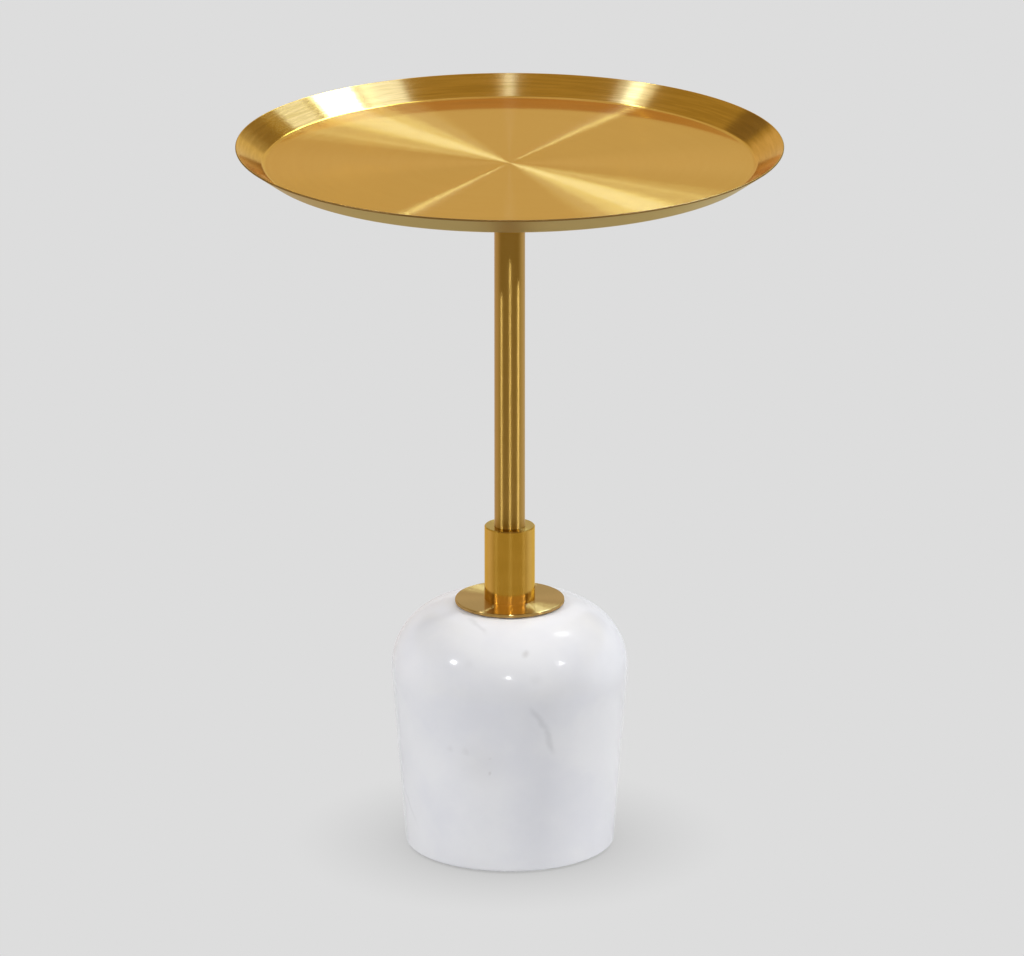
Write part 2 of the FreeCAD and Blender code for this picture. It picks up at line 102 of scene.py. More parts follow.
class Wire:
    """An output socket of a node tree. Sums of wires and numbers become Math nodes."""

    def __init__(self, tree, socket=None):
        self.tree = tree
        self.socket = socket

    def node(self, kind, settings=None, sockets=None, out=0):
        """Adds a node, sets it up, feeds its sockets, and gives back the wire from one output."""
        made = self.tree.nodes.new(kind)
        for name, value in (settings or {}).items():
            setattr(made, name, value)
        feed(made.inputs, sockets or {})
        return Wire(self.tree, made.outputs[out] if len(made.outputs) else None)

    def other(self, out):
        """Another output of the same node."""
        return Wire(self.tree, self.socket.node.outputs[out])

    def math(self, operation, *values):
        """A Math node, for numbers."""
        return self.node("ShaderNodeMath", {"operation": operation}, dict(enumerate(values)))

    def vector(self, operation, *values, out="Vector"):
        """A Vector Math node. Its output named Value is a number, such as a length."""
        return self.node("ShaderNodeVectorMath", {"operation": operation}, dict(enumerate(values)), out)

    def __add__(self, value):
        return self.math("ADD", self, value)

    def __radd__(self, value):
        return self.math("ADD", value, self)

    def __sub__(self, value):
        return self.math("SUBTRACT", self, value)

    def __rsub__(self, value):
        return self.math("SUBTRACT", value, self)

    def __mul__(self, value):
        return self.math("MULTIPLY", self, value)

    def __rmul__(self, value):
        return self.math("MULTIPLY", value, self)

    def __truediv__(self, value):
        return self.math("DIVIDE", self, value)

    def __rtruediv__(self, value):
        return self.math("DIVIDE", value, self)


def strongest(wires):
    """The largest of several wires, point by point."""
    top, *others = wires
    for wire in others:
        top = top.math("MAXIMUM", top, wire)
    return top


def step_between(wire, low, high):
    """A soft step: 0 below low, 1 above high."""
    return wire.node(
        "ShaderNodeMapRange",
        {"interpolation_type": "SMOOTHSTEP"},
        {"Value": wire, "From Min": low, "From Max": high},
    )


def mix_colours(factor, first, second):
    """The first colour where the factor is 0, the second where it is 1."""
    return factor.node("ShaderNodeMix", {"data_type": "RGBA"}, {0: factor, 6: first, 7: second}, out=2)


def cloudy(place, scale, detail, out=0):
    """Soft noise at a place. A larger scale gives smaller blots."""
    return place.node("ShaderNodeTexNoise", None, {"Vector": place, "Scale": scale, "Detail": detail}, out)


print("sums ready")

# %% [markdown]
# ## Turning on a lathe
#
# The tray is spun from sheet, the pole and the plate are turned, and the stone is ground on a turntable.
# All four follow one rule: a half section that goes round the upright axis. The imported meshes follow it
# too, but in steps that were chosen for measuring. A Geometry Nodes tree repeats the rule with as many
# steps as a mirror finish needs: it lays out a grid, one column for each step, and wraps the section round
# the axis.

# %% A tree that turns a half section
SHARP_ABOVE = math.radians(35)
JOIN_WITHIN = 1e-6


def new_tree(name, inputs):
    """A Geometry Nodes tree with named inputs. Gives the tree, its input wires and their identifiers."""
    tree = bpy.data.node_groups.new(name, "GeometryNodeTree")
    identifiers = {}
    for label, kind in inputs:
        socket = tree.interface.new_socket(name=label, in_out="INPUT", socket_type=kind)
        identifiers[label] = socket.identifier
    tree.interface.new_socket(name="Geometry", in_out="OUTPUT", socket_type="NodeSocketGeometry")
    first = Wire(tree).node("NodeGroupInput")
    wires = {label: first.other(label) for label, kind in inputs}
    return tree, wires, identifiers


def shade_smooth(shape):
    """The same shape with smooth faces."""
    return shape.node(
        "GeometryNodeSetShadeSmooth", {"domain": "FACE"}, {"Geometry": shape, "Shade Smooth": True}
    )


def end_tree(shape, finish):
    """Closes a tree: real geometry, its material, and the output."""
    real = shape.node("GeometryNodeRealizeInstances", None, {"Geometry": shape})
    dressed = real.node("GeometryNodeSetMaterial", None, {"Geometry": real, "Material": finish})
    dressed.node("NodeGroupOutput", None, {0: dressed})


turning_inputs = [
    ("Section", "NodeSocketGeometry"),
    ("Steps around", "NodeSocketInt"),
    ("Sharp above", "NodeSocketFloat"),
    ("Finish", "NodeSocketMaterial"),
]
turning, part, turning_ids = new_tree("Turned piece", turning_inputs)
section = part["Section"]
count = section.node(
    "GeometryNodeAttributeDomainSize", {"component": "MESH"}, {"Geometry": section}, out="Point Count"
)
steps = part["Steps around"]
grid = section.node("GeometryNodeMeshGrid", None, {"Vertices X": steps + 1, "Vertices Y": count})
index = section.node("GeometryNodeInputIndex")
row = index.node("FunctionNodeIntegerMath", {"operation": "MODULO"}, {0: index, 1: count})
column = index.node("FunctionNodeIntegerMath", {"operation": "DIVIDE_FLOOR"}, {0: index, 1: count})
place = section.node("GeometryNodeInputPosition")
point = section.node(
    "GeometryNodeSampleIndex",
    {"data_type": "FLOAT_VECTOR", "domain": "POINT"},
    {"Geometry": section, "Value": place, "Index": row},
)
radius = point.node("ShaderNodeSeparateXYZ", None, {0: point})
turn = column * math.tau / steps
across = radius * turn.math("COSINE", turn)
deep = radius * turn.math("SINE", turn)
wrapped = point.node("ShaderNodeCombineXYZ", None, {"X": across, "Y": deep, "Z": radius.other("Z")})
shell = grid.node("GeometryNodeSetPosition", None, {"Geometry": grid, "Position": wrapped})
joined = shell.node("GeometryNodeMergeByDistance", None, {"Geometry": shell, "Distance": JOIN_WITHIN})
smooth = shade_smooth(joined)
bend = smooth.node("GeometryNodeInputMeshEdgeAngle")
corner = bend.math("GREATER_THAN", bend, part["Sharp above"])
creased = smooth.node(
    "GeometryNodeSetShadeSmooth",
    {"domain": "EDGE"},
    {"Geometry": smooth, "Selection": corner, "Shade Smooth": False},
)
end_tree(creased, part["Finish"])
print("turning tree:", len(turning.nodes), "nodes")

# %% [markdown]
# The tree only needs a section. A section is a chain of points, each a radius and a height. Its straight
# runs get extra points close to their ends, so that a flat face stays flat right up to the rounding beside
# it. When the tree has run, its result becomes a plain mesh, and the faces are made to point outwards.

# %% Helpers for sections and for running a tree
EDGE_SUPPORT = 0.5 * MM
LONGEST_RUN = 12 * MM
FINE_ARC = 2.0
FEWEST_PIECES = 4


def rounded(corners, fine=FINE_ARC):
    """A chain of points from corners, each a radius, a height and a rounding. Arcs turn by fine degrees."""
    chain = []
    for number, (across, up, rounding) in enumerate(corners):
        here = Vector((across, up))
        if rounding == 0:
            chain.append(here)
            continue
        before = Vector(corners[number - 1][:2]) - here
        after = Vector(corners[number + 1][:2]) - here
        before.normalize()
        after.normalize()
        half = before.angle(after) / 2
        middle = here + (before + after).normalized() * rounding / math.sin(half)
        start = here + before * rounding / math.tan(half) - middle
        sweep = math.pi - 2 * half
        side = 1 if before.x * after.y - before.y * after.x < 0 else -1
        pieces = max(FEWEST_PIECES, math.ceil(math.degrees(sweep) / fine))
        for k in range(pieces + 1):
            angle = side * sweep * k / pieces
            across_part = start.x * math.cos(angle) - start.y * math.sin(angle)
            up_part = start.x * math.sin(angle) + start.y * math.cos(angle)
            chain.append(middle + Vector((across_part, up_part)))
    return chain


def supported(chain):
    """The same chain with points near the ends of each straight run, and along a long one."""
    full = [chain[0]]
    for first, second in zip(chain, chain[1:]):
        run = second - first
        if run.length > 4 * EDGE_SUPPORT:
            inner = run.length - 2 * EDGE_SUPPORT
            shares = max(1, math.ceil(inner / LONGEST_RUN))
            for k in range(shares + 1):
                full.append(first + run.normalized() * (EDGE_SUPPORT + inner * k / shares))
        full.append(second)
    return full


def run_tree(name, mesh, tree, values):
    """Runs a tree on a mesh and gives an object with the plain result, its faces pointing outwards."""
    piece = bpy.data.objects.new(name, mesh)
    scene.collection.objects.link(piece)
    maker = piece.modifiers.new(tree.name, "NODES")
    maker.node_group = tree
    for identifier, value in values.items():
        maker[identifier] = value
    evaluated = piece.evaluated_get(bpy.context.evaluated_depsgraph_get())
    result = bpy.data.meshes.new_from_object(evaluated)
    piece.modifiers.remove(maker)
    piece.data = result
    result.name = name
    shape = bmesh.new()
    shape.from_mesh(result)
    bmesh.ops.recalc_face_normals(shape, faces=shape.faces)
    open_edges = sum(1 for edge in shape.edges if len(edge.link_faces) != 2)
    shape.to_mesh(result)
    shape.free()
    print(name, "faces:", len(result.polygons), "open edges:", open_edges)
    return piece


def turned(name, chain, steps_around, finish):
    """A piece turned from a section."""
    points = supported(chain)
    wire_mesh = bpy.data.meshes.new(name + " section")
    links = [(k, k + 1) for k in range(len(points) - 1)]
    wire_mesh.from_pydata([(p.x, 0, p.y) for p in points], links, [])
    values = {
        turning_ids["Steps around"]: steps_around,
        turning_ids["Sharp above"]: SHARP_ABOVE,
        turning_ids["Finish"]: finish,
    }
    return run_tree(name, wire_mesh, turning, values)


print("helpers ready")

# %% [markdown]
# ## Brushed gold
#
# The tray was spun, polished and brushed on the lathe, so its scratches run round the middle. Between them
# the metal still mirrors the room. At them light is spread far across the scratches and hardly along them,
# and every lamp draws a bright spoke through the middle. A bump texture alone can't do that, so the finish
# mixes two shaders: a clear mirror, and an anisotropic one that takes a share. Fine rings in colour and
# gloss are drawn with noise that is stretched round the axis.

# %% Helpers for finishes
RING_ROUGHNESS = 0.65
SOFT_STEP = (0.3, 0.7)
FIRM_STEP = (0.35, 0.65)


def new_finish(name):
    """A new material, and a wire to start its tree from."""
    material = bpy.data.materials.new(name)
    material.use_nodes = True
    return material, Wire(material.node_tree)


def dress(material, values):
    """Feeds a material's main shader, and gives back its wire."""
    shader = material.node_tree.nodes["Principled BSDF"]
    feed(shader.inputs, values)
    return Wire(material.node_tree, shader.outputs[0])


def two_lobes(material, share, clear, brushed):
    """A metal that is polished under its scratches: a clear mirror, and a share that the scratches spread."""
    mirror = dress(material, {"Metallic": 1, **clear})
    spread = mirror.node("ShaderNodeBsdfAnisotropic", {"distribution": "BECKMANN"}, brushed)
    both = mirror.node("ShaderNodeMixShader", None, {0: share, 1: mirror, 2: spread})
    feed(material.node_tree.nodes["Material Output"].inputs, {"Surface": both})


def round_axis(start):
    """Object coordinates: the place, its radius and height, and the unit direction away from the axis."""
    place = start.node("ShaderNodeTexCoord", out="Object")
    parts = place.node("ShaderNodeSeparateXYZ", None, {0: place})
    flat = place.vector("MULTIPLY", place, (1, 1, 0))
    return SimpleNamespace(
        place=place,
        radius=flat.vector("LENGTH", flat, out="Value"),
        height=parts.other("Z"),
        away=flat.vector("NORMALIZE", flat),
    )


def ring_noise(away, along, lines, stretch, detail=3.0):
    """Noise in rings: fine along the section, and nearly constant round the axis."""
    spread = away.vector("MULTIPLY", away, (stretch, stretch, stretch))
    lift = along.node("ShaderNodeCombineXYZ", None, {"Z": along * lines})
    place = spread.vector("ADD", spread, lift)
    return place.node(
        "ShaderNodeTexNoise",
        None,
        {"Vector": place, "Scale": 1.0, "Detail": detail, "Roughness": RING_ROUGHNESS},
    )


print("helpers for finishes ready")

# %% [markdown]
# The floor of the tray has the most even rings. On the rim the brush left shorter, patchier streaks and
# fewer scratches. The underside is duller, and its colour is greyer: a painted reflection of the grey
# backdrop that it mirrors. The lip's colour is darker: a painted shade for the dark line along the rolled
# edge. All of these places are told apart by radius and height, because one piece of sheet has one material.

# %% The tray's gold
TRAY_FLOOR_DARK = (0.68, 0.352, 0.07, 1)
TRAY_FLOOR_LIGHT = (0.73, 0.395, 0.09, 1)
TRAY_RIM_DARK = (0.65, 0.34, 0.063, 1)
TRAY_RIM_LIGHT = (0.77, 0.415, 0.095, 1)
# painted reflection: the underside's colour is greyed for the backdrop it mirrors; painted shade: the lip's
# colour is darkened
TRAY_UNDERSIDE_PAINTED_REFLECTION = (0.41, 0.31, 0.16, 1)
TRAY_LIP_PAINTED_SHADE = (0.3, 0.17, 0.06, 1)
TRAY_SCRATCHES = (0.7, 0.45, 0.15, 1)
TRAY_TINT = (1.0, 0.85, 0.5, 1)
# the mirror's roughness, the scratches' roughness, how much these spread one way, and their share
TRAY_MIRROR = 0.08
TRAY_SPREAD = 0.294
TRAY_ONE_WAY = 0.827
TRAY_SHARE = 0.27
RING_DEPTH = 0.0002
RING_STRENGTH = 0.05
# radii where the rim and the lip begin
RIM_FROM = (0.2, 0.2025)
LIP_FROM = (0.2241, 0.2245)
# the middle of the sheet: its height at the floor, and where and how steeply it rises
SHEET_MIDDLE = 0.5876
FLOOR_EDGE = 0.202
RIM_SLOPE = 0.703
SHEET_SKIN = 0.0003


def tray_gold():
    material, start = new_finish("tray brushed gold")
    here = round_axis(start)
    fine = ring_noise(here.away, here.radius, lines=900, stretch=1.2)
    broad = ring_noise(here.away, here.radius, lines=160, stretch=0.8, detail=2.0)
    patchy = ring_noise(here.away, here.radius, lines=600, stretch=4.5, detail=2.0)
    rings = fine * 0.7 + broad * 0.3
    uneven = rings - 0.5
    on_rim = step_between(here.radius, *RIM_FROM)
    on_lip = step_between(here.radius, *LIP_FROM)
    past_floor = here.radius.math("MAXIMUM", here.radius - FLOOR_EDGE, 0)
    above_middle = here.height - (SHEET_MIDDLE + past_floor * RIM_SLOPE)
    under = 1 - step_between(above_middle, -SHEET_SKIN, SHEET_SKIN)
    on_floor = mix_colours(step_between(rings, *SOFT_STEP), TRAY_FLOOR_DARK, TRAY_FLOOR_LIGHT)
    flared = mix_colours(step_between(patchy, *FIRM_STEP), TRAY_RIM_DARK, TRAY_RIM_LIGHT)
    inside = mix_colours(on_rim, on_floor, flared)
    # the underside's greyer colour is a painted reflection of the grey backdrop
    gold = mix_colours(under, inside, TRAY_UNDERSIDE_PAINTED_REFLECTION)
    grooves = {"Strength": RING_STRENGTH, "Distance": RING_DEPTH, "Height": rings}
    bump = rings.node("ShaderNodeBump", None, grooves)
    clear = {
        # the lip's darker colour is a painted shade along the rolled edge
        "Base Color": mix_colours(on_lip, gold, TRAY_LIP_PAINTED_SHADE),
        "Specular Tint": TRAY_TINT,
        "Normal": bump,
        "Roughness": TRAY_MIRROR + uneven * 0.06 + on_rim * 0.03 + on_lip * 0.2 + under * 0.2,
    }
    brushed = {
        "Color": TRAY_SCRATCHES,
        "Normal": bump,
        "Roughness": TRAY_SPREAD + uneven * 0.04,
        "Anisotropy": TRAY_ONE_WAY,
    }
    share = (TRAY_SHARE + uneven * 0.08 - on_rim * 0.12) * (1 - under) * (1 - on_lip)
    two_lobes(material, share, clear, brushed)
    return material


gold_tray = tray_gold()
print("tray finish:", len(gold_tray.node_tree.nodes), "nodes")

# %% [markdown]
# The plate and the collar are turned and polished too, so they get the same two shaders in other shares.
# The end of the collar, round the pole, has a darker and greyer colour than its wall. The pole has no clear
# mirror left: one shader is enough, and a quarter turn lays its spread along the pole. The plate under the
# tray is plain satin gold.

# %% Gold of the other pieces
PLATE_DARK = (0.41, 0.285, 0.11, 1)
PLATE_LIGHT = (0.46, 0.325, 0.135, 1)
PLATE_SCRATCHES = (0.58, 0.35, 0.12, 1)
PLATE_TINT = (1.0, 0.88, 0.65, 1)
PLATE_MIRROR = 0.06
PLATE_SPREAD = 0.26
PLATE_ONE_WAY = 0.78
PLATE_SHARE = 0.5
COLLAR_DARK = (0.68, 0.4, 0.085, 1)
COLLAR_LIGHT = (0.73, 0.43, 0.1, 1)
COLLAR_END = (0.48, 0.36, 0.19, 1)
COLLAR_SCRATCHES = (0.705, 0.415, 0.093, 1)
COLLAR_TINT = (1.0, 0.85, 0.45, 1)
COLLAR_MIRROR = 0.1
COLLAR_SPREAD = 0.43
COLLAR_ONE_WAY = 0.684
COLLAR_SHARE = 0.1
COLLAR_SMEARS = 0.5
END_SKIN = (0.00005, 0.0002)
POLE_DARK = (0.67, 0.4, 0.095, 1)
POLE_LIGHT = (0.71, 0.43, 0.11, 1)
POLE_SPREAD = 0.45
QUARTER_TURN = 0.25
SATIN_DARK = (0.5, 0.3, 0.08, 1)
SATIN_LIGHT = (0.62, 0.37, 0.1, 1)
SATIN_SMOOTHEST = 0.35
SATIN_SMEARS = 0.6
SMEAR_SCALE = 60.0


def smeared(here, share):
    """Faint smears over fine rings. Gives the smears, which have this share, and the rings alone."""
    smear = cloudy(here.place, SMEAR_SCALE, detail=4.0)
    rings = ring_noise(here.away, here.height + here.radius, lines=1500, stretch=1.5)
    return step_between(smear * share + rings * (1 - share), *FIRM_STEP), rings


def flange_gold():
    material, start = new_finish("plate turned gold")
    here = round_axis(start)
    rings = ring_noise(here.away, here.radius, lines=1500, stretch=1.2)
    clear = {
        "Base Color": mix_colours(step_between(rings, *SOFT_STEP), PLATE_DARK, PLATE_LIGHT),
        "Specular Tint": PLATE_TINT,
        "Roughness": PLATE_MIRROR + rings * 0.04,
    }
    brushed = {
        "Color": PLATE_SCRATCHES,
        "Roughness": PLATE_SPREAD + rings * 0.06,
        "Anisotropy": PLATE_ONE_WAY,
    }
    two_lobes(material, PLATE_SHARE + (rings - 0.5) * 0.1, clear, brushed)
    return material


def collar_gold():
    material, start = new_finish("collar polished gold")
    here = round_axis(start)
    blot, rings = smeared(here, COLLAR_SMEARS)
    from_end = here.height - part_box("collar")[1].z
    on_end = 1 - step_between(from_end.math("ABSOLUTE", from_end), *END_SKIN)
    wall = mix_colours(blot, COLLAR_DARK, COLLAR_LIGHT)
    clear = {
        "Base Color": mix_colours(on_end, wall, COLLAR_END),
        "Specular Tint": COLLAR_TINT,
        "Roughness": COLLAR_MIRROR + blot * 0.06,
    }
    brushed = {
        "Color": COLLAR_SCRATCHES,
        "Roughness": COLLAR_SPREAD + blot * 0.04,
        "Anisotropy": COLLAR_ONE_WAY,
    }
    two_lobes(material, COLLAR_SHARE + (rings - 0.5) * 0.08, clear, brushed)
    return material


def pole_gold():
    material, start = new_finish("pole turned gold")
    here = round_axis(start)
    fine = ring_noise(here.away, here.height, lines=1200, stretch=1.5)
    broad = ring_noise(here.away, here.height, lines=60, stretch=1.0, detail=2.0)
    rings = fine * 0.5 + broad * 0.5
    turned_metal = {
        "Base Color": mix_colours(step_between(rings, *SOFT_STEP), POLE_DARK, POLE_LIGHT),
        "Roughness": POLE_SPREAD + (rings - 0.5) * 0.04,
        "Metallic": 1,
        "Anisotropic": 1.0,
        "Anisotropic Rotation": QUARTER_TURN,
    }
    dress(material, turned_metal)
    return material


def satin_gold():
    material, start = new_finish("under plate satin gold")
    blot = smeared(round_axis(start), SATIN_SMEARS)[0]
    satin = {
        "Base Color": mix_colours(blot, SATIN_DARK, SATIN_LIGHT),
        "Roughness": SATIN_SMOOTHEST + blot * 0.15,
        "Metallic": 1,
        "Specular Tint": COLLAR_TINT,
    }
    dress(material, satin)
    return material


gold_pole = pole_gold()
gold_collar = collar_gold()
gold_flange = flange_gold()
gold_under = satin_gold()
print("gold finishes: 5")

# %% [markdown]
# ## White marble
#
# The foot is one block of polished white marble with a cool tint, soft grey clouds, a few thin grey veins
# and some smudges. Painted veins would stop at the surface. Here the clouds are noise in the stone's own
# coordinates, each vein is a thin sheet in the block and each smudge a small ball, so that they go on
# inside as in a real stone. A little noise bends them all.

# %% Marble
CLOUD_LIGHT = (0.89, 0.895, 0.925, 1)
CLOUD_DARK = (0.83, 0.838, 0.89, 1)
VEIN_GREY = (0.4, 0.4, 0.43, 1)
SPECK_GREY = (0.36, 0.33, 0.33, 1)
MARBLE_IOR = 1.52
MARBLE_GLOSS = 0.14
BEND_SCALE = 40.0
BEND = (0.012, 0.012, 0.012)
HALF = (0.5, 0.5, 0.5)
CLOUD_SCALE = 14.0
CLOUD_STEP = (0.35, 0.7)
VEIN_CORE = 0.35
SMUDGE_CORE = 0.1
# each vein: a point on it, the direction across it, its reach, half its width and its strength
VEINS = (
    ((0.0246, -0.0939, 0.1372), (-0.739, -0.247, -0.627), 0.018, 0.0036, 0.2),
    ((0.0323, -0.0904, 0.1194), (-0.92, -0.345, -0.187), 0.018, 0.0036, 0.2),
    ((-0.0275, -0.052, 0.2047), (-0.909, -0.398, -0.126), 0.019, 0.0036, 0.18),
    ((0.075, 0.045, 0.13), (0.45, -0.55, 0.7), 0.09, 0.003, 0.22),
    ((-0.06, 0.07, 0.09), (0.3, 0.55, 0.78), 0.1, 0.0028, 0.24),
    ((-0.01, 0.09, 0.17), (0.85, 0.2, -0.48), 0.07, 0.0034, 0.2),
    ((-0.085, -0.02, 0.06), (0.2, -0.75, 0.63), 0.05, 0.003, 0.14),
)
# each smudge: its middle, its reach and its strength
SMUDGES = (
    ((0.013, -0.0826, 0.1908), 0.0045, 0.28),
    ((-0.0486, -0.0818, 0.108), 0.005, 0.1),
    ((-0.037, -0.0875, 0.1075), 0.006, 0.12),
    ((-0.017, -0.0932, 0.104), 0.0035, 0.17),
    ((-0.0155, -0.0924, 0.09), 0.0026, 0.26),
    ((0.0225, -0.0927, 0.172), 0.007, 0.06),
    ((-0.0246, -0.0909, 0.098), 0.03, 0.07),
    ((-0.036, -0.0827, 0.1826), 0.006, 0.05),
    ((0.06, 0.075, 0.06), 0.005, 0.2),
    ((-0.09, 0.025, 0.12), 0.006, 0.14),
    ((0.03, 0.08, 0.185), 0.004, 0.2),
)


def from_point(place, point):
    """The way from a point of the stone, and the distance."""
    way = place.vector("SUBTRACT", place, point)
    return way, way.vector("LENGTH", way, out="Value")


def fading(far, core, reach):
    """1 up to a share of the reach, which is the core, and then down to 0."""
    return 1 - step_between(far, reach * core, reach)


def vein_sheet(place, point, across, reach, half_width, strength):
    """A thin sheet of grey in the stone, which fades out away from its point."""
    way, far = from_point(place, point)
    side = way.vector("DOT_PRODUCT", way, across, out="Value")
    thin = 1 - step_between(side.math("ABSOLUTE", side), 0, half_width)
    return thin * fading(far, VEIN_CORE, reach) * strength


def smudge_ball(place, middle, reach, strength):
    """A small soft ball of grey in the stone."""
    return fading(from_point(place, middle)[1], SMUDGE_CORE, reach) * strength


def white_marble():
    material, start = new_finish("white marble")
    where = start.node("ShaderNodeTexCoord", out="Object")
    noise = cloudy(where, BEND_SCALE, detail=4.0, out="Color")
    push = noise.vector("SUBTRACT", noise, HALF)
    bent = push.vector("MULTIPLY_ADD", push, BEND, where)
    cloud = cloudy(bent, CLOUD_SCALE, detail=5.0)
    vein = strongest([vein_sheet(bent, *sheet) for sheet in VEINS])
    speck = strongest([smudge_ball(bent, *ball) for ball in SMUDGES])
    ground = mix_colours(step_between(cloud, *CLOUD_STEP), CLOUD_LIGHT, CLOUD_DARK)
    veined = mix_colours(vein, ground, VEIN_GREY)
    polished_stone = {
        "Base Color": mix_colours(speck, veined, SPECK_GREY),
        "Roughness": MARBLE_GLOSS + vein * 0.1 + (cloud - 0.5) * 0.05,
        "IOR": MARBLE_IOR,
    }
    dress(material, polished_stone)
    return material


marble = white_marble()
print("veins:", len(VEINS), "smudges:", len(SMUDGES))

# %% [markdown]
# ## Hidden hardware
#
# The rod, the stud, the plugs, the washers and the nut are plain bought parts: zinc-plated steel with a
# faint bluish mottle, black steel for the spring washer and the set screw, nylon under the tray, foam under
# the plate and a rough rubber pad on the floor. They show only from below or with the tray off, but they
# get real finishes.

# %% Hardware finishes
GRAIN_DEPTH = 0.0003


def mottled(name, dark, light, scale, low, high, metallic, bump=0.0):
    """A finish in soft mottles of two colours. low and high are the ends of its roughness."""
    material, start = new_finish(name)
    where = start.node("ShaderNodeTexCoord", out="Object")
    noise = cloudy(where, scale, detail=5.0)
    blot = step_between(noise, *FIRM_STEP)
    looks = {
        "Base Color": mix_colours(blot, dark, light),
        "Roughness": low + blot * (high - low),
        "Metallic": metallic,
    }
    if bump:
        grain = {"Strength": bump, "Distance": GRAIN_DEPTH, "Height": noise}
        looks["Normal"] = noise.node("ShaderNodeBump", None, grain)
    dress(material, looks)
    return material


# each finish: its two colours, the scale of its mottles, the ends of its roughness, its metal and its grain
zinc = mottled("zinc plated steel", (0.42, 0.45, 0.48, 1), (0.62, 0.63, 0.64, 1), 220, 0.28, 0.42, 1)
black_steel = mottled("black steel", (0.02, 0.02, 0.022, 1), (0.05, 0.05, 0.052, 1), 300, 0.35, 0.5, 0.8)
nylon = mottled("black nylon", (0.018, 0.018, 0.018, 1), (0.03, 0.03, 0.03, 1), 500, 0.45, 0.6, 0)
foam = mottled("pale foam", (0.55, 0.55, 0.53, 1), (0.7, 0.7, 0.68, 1), 900, 0.7, 0.85, 0, 0.3)
rubber = mottled("black rubber pad", (0.02, 0.02, 0.02, 1), (0.045, 0.045, 0.045, 1), 1200, 0.75, 0.9, 0, 0.4)
print("hardware finishes: 5")

# %% [markdown]
# ## The tray
#
# One round of sheet, spun over a former: a flat floor, a small bend, a flared rim and a smooth rolled lip.
# The section is drawn once for the inner face and once for the outer face, a sheet's thickness apart.

# %% Turn the tray
SHEET = 1.5 * MM
RIM_WIDTH = 23 * MM
INNER_BEND = 7 * MM
LIP_PIECES = 24
TRAY_STEPS = 288


def arc_chain(middle, arc_radius, start, end, pieces):
    """Points along an arc, from one angle to another."""
    angles = [start + (end - start) * k / pieces for k in range(pieces + 1)]
    return [middle + Vector((math.cos(a), math.sin(a))) * arc_radius for a in angles]


def tray_section():
    low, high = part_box("tray")
    floor_up = low.z + SHEET
    floor_edge = Vector((high.x - RIM_WIDTH, floor_up))
    lip_radius = SHEET / 2
    lip = Vector((high.x - lip_radius, high.z - lip_radius))
    to_lip = lip - floor_edge
    slope = math.atan2(to_lip.y, to_lip.x) + math.asin(lip_radius / to_lip.length)
    rim = arc_chain(lip, lip_radius, slope + math.pi / 2, slope - math.pi / 2, LIP_PIECES)
    under_edge = floor_edge + Vector((SHEET * math.tan(slope / 2), -SHEET))
    inside = rounded([(0, floor_up, 0), (*floor_edge, INNER_BEND), (*rim[0], 0)])
    outside = rounded([(*rim[-1], 0), (*under_edge, INNER_BEND + SHEET), (0, low.z, 0)])
    return inside[:-1] + rim + outside[1:]


tray = turned("tray_spun", tray_section(), TRAY_STEPS, gold_tray)
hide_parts("tray")
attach(tray, "tray_top")

# %% [markdown]
# ## Pole, plate and stone
#
# The pole is a tube with a small bevel at the top. The plate is a thin disc with rounded edges and a hole
# for the rod. The stone has a flat seat, a round shoulder that runs tangent into the wall, and a wall that
# leans in towards the foot. Underneath it has the recess for the nut, and a bore for the rod goes through
# it.

# %% Turn the pole, the plate and the stone
POLE_WALL = 1.5 * MM
EDGE_BREAK = 0.4 * MM
ROD_HOLE = 5.3 * MM
FLANGE_ROUND = 0.8 * MM
SHOULDER = 55.5 * MM
STONE_TAPER = 11.5 * MM
FOOT_ROUND = 2.5 * MM
STONE_BORE = 7 * MM
RECESS_RADIUS = 32 * MM
SHOULDER_PIECES = 60
PLATE_ARC = 6.0
FOOT_ARC = 4.0
POLE_STEPS = 160
PLATE_STEPS = 224
STONE_STEPS = 256


def pole_section():
    low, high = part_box("pole")
    inner = high.x - POLE_WALL
    chain = [
        (inner, low.z),
        (high.x, low.z),
        (high.x, high.z - EDGE_BREAK),
        (high.x - EDGE_BREAK, high.z),
        (inner, high.z),
        (inner, low.z),
    ]
    return [Vector(point) for point in chain]


def flange_section():
    low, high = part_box("flange_plate")
    return rounded(
        [
            (ROD_HOLE, low.z, 0),
            (high.x, low.z, FLANGE_ROUND),
            (high.x, high.z, FLANGE_ROUND),
            (ROD_HOLE, high.z, 0),
            (ROD_HOLE, low.z, 0),
        ],
        PLATE_ARC,
    )


def stone_section():
    low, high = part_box("marble_base")
    recess_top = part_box("clamp_plate")[1].z
    flat = high.x - SHOULDER
    middle = Vector((flat, high.z - SHOULDER))
    foot = Vector((high.x - STONE_TAPER, low.z))
    to_foot = foot - middle
    touch = math.atan2(to_foot.y, to_foot.x) + math.acos(SHOULDER / to_foot.length)
    shoulder = arc_chain(middle, SHOULDER, touch, math.pi / 2, SHOULDER_PIECES)
    wall = rounded([(RECESS_RADIUS, low.z, 0), (*foot, FOOT_ROUND), (*shoulder[0], 0)], FOOT_ARC)
    inside = [
        (STONE_BORE, high.z),
        (STONE_BORE, recess_top),
        (RECESS_RADIUS, recess_top),
        (RECESS_RADIUS, low.z),
    ]
    return wall[:-1] + shoulder + [Vector(point) for point in inside]


pole = turned("pole_tube", pole_section(), POLE_STEPS, gold_pole)
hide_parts("pole")
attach(pole, "pedestal")
flange = turned("flange_disc", flange_section(), PLATE_STEPS, gold_flange)
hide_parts("flange_plate")
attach(flange, "pedestal")
stone = turned("stone_foot", stone_section(), STONE_STEPS, marble)
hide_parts("marble_base")
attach(stone, "pedestal")

